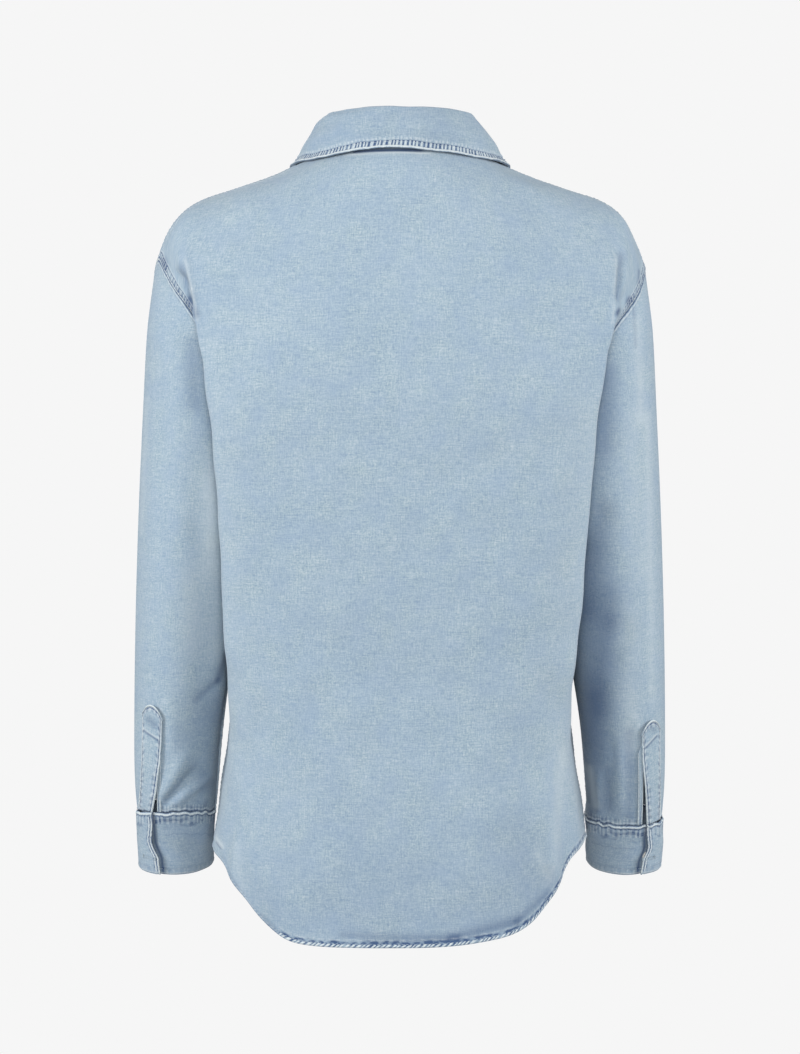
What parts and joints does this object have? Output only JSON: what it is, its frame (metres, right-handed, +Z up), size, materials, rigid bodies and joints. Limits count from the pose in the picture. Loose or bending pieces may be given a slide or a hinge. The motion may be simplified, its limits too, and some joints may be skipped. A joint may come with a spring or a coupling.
{
  "type": "denim shirt",
  "caption": "Long-sleeved light-wash denim shirt with a turned-down collar, buttoned cuffs and a curved hem, held open in its worn shape with no wearer.",
  "frame": {"origin": "middle of the neck's base on the centre plane, level with the wearer's shoulders, where the wearer holds the shirt up", "axes": "+Z up, +Y towards the wearer's back, +X towards the wearer's left"},
  "size_m": [0.4852, 0.238, 0.7387],
  "materials": {
    "denim": "stone-washed light blue cotton denim, matte",
    "button": "off-white pearly resin"
  },
  "bodies": {
    "root": {"back": "denim", "front_left": "denim", "front_right": "denim", "button_band": "denim", "sleeve_left": "denim", "sleeve_right": "denim", "cuff_left": "denim", "cuff_right": "denim", "gauntlet_left": "denim", "gauntlet_right": "denim", "binding_left": "denim", "binding_right": "denim", "collar_stand": "denim", "collar_leaf": "denim", "button_front_1": "button", "button_front_2": "button", "button_front_3": "button", "button_front_4": "button", "button_front_5": "button", "button_front_6": "button", "button_collar": "button", "button_cuff_left": "button", "button_cuff_right": "button"}
  },
  "joints": []
}
